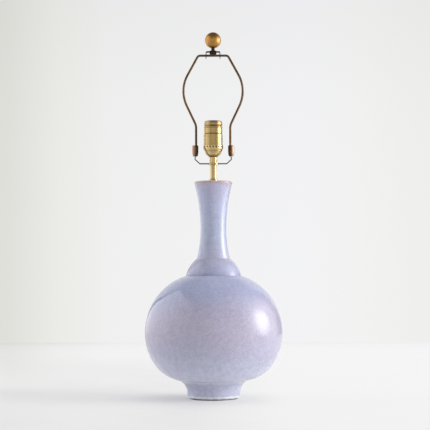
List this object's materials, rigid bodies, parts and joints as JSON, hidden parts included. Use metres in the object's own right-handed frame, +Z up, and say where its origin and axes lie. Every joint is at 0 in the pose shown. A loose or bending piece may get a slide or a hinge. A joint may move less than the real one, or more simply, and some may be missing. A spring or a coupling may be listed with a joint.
{
  "type": "table lamp base",
  "caption": "Round-bellied glazed ceramic table lamp base with a waisted neck, brass screw-shell socket, lift-off harp on locking sleeves, swivelling yoke and ball finial.",
  "frame": {"origin": "centre of the felt's underside, on the table", "axes": "+Z up the lamp, +X to the right as the lamp is seen from the front with the harp face on, +Y to the back, where the cord notch is"},
  "size_m": [0.2421, 0.2422, 0.6464],
  "materials": {
    "glaze": "glossy",
    "felt": "matte",
    "rubber": "matte",
    "steel": "satin",
    "brass": "polished",
    "bronze": "satin",
    "fibre": "matte",
    "moulding": "satin",
    "contact_metal": "satin"
  },
  "bodies": {
    "lamp": {"ceramic_body": "glaze", "felt_pad": "felt", "cord_grommet": "rubber", "foot_gasket": "rubber", "foot_washer": "steel", "lock_washer": "steel", "pipe_nut": "steel", "lamp_pipe": "steel", "neck_ring": "brass", "neck_tube": "brass", "saddle_ring": "brass", "harp_saddle": "steel", "socket_cap": "brass", "hub_screw": "steel", "socket_shell": "brass", "socket_liner": "fibre", "socket_base": "moulding", "screw_shell": "contact_metal", "contact_foot": "contact_metal", "terminal_screws": "contact_metal"},
    "harp": {"harp_wire": "bronze"},
    "left_sleeve": {"sleeve_left": "bronze"},
    "right_sleeve": {"sleeve_right": "bronze"},
    "yoke": {"harp_yoke": "bronze", "shade_stud": "bronze", "stud_washer": "bronze"},
    "finial": {"finial_ball": "brass"},
    "contact": {"contact_tab": "contact_metal"}
  },
  "joints": [
    {"name": "harp_lift", "type": "slide", "parent": "lamp", "child": "harp", "axis": [0, 0, 1], "range_m": [0, 0.03]},
    {"name": "left_sleeve_slide", "type": "slide", "parent": "harp", "child": "left_sleeve", "axis": [0, 0, 1], "range_m": [0, 0.022]},
    {"name": "right_sleeve_slide", "type": "slide", "parent": "harp", "child": "right_sleeve", "axis": [0, 0, 1], "range_m": [0, 0.022]},
    {"name": "yoke_swivel", "type": "hinge", "parent": "harp", "child": "yoke", "pos_m": [0, 0, 0.60477], "axis": [1, 0, 0], "range_deg": [-75, 75]},
    {"name": "finial_lift", "type": "slide", "parent": "yoke", "child": "finial", "axis": [0, 0, 1], "range_m": [0, 0.026]},
    {"name": "contact_flex", "type": "hinge", "parent": "lamp", "child": "contact", "pos_m": [-0.0037, 0, 0.44977], "axis": [0, 1, 0], "range_deg": [0, 8], "stiffness_Nm_per_rad": 0.02}
  ]
}
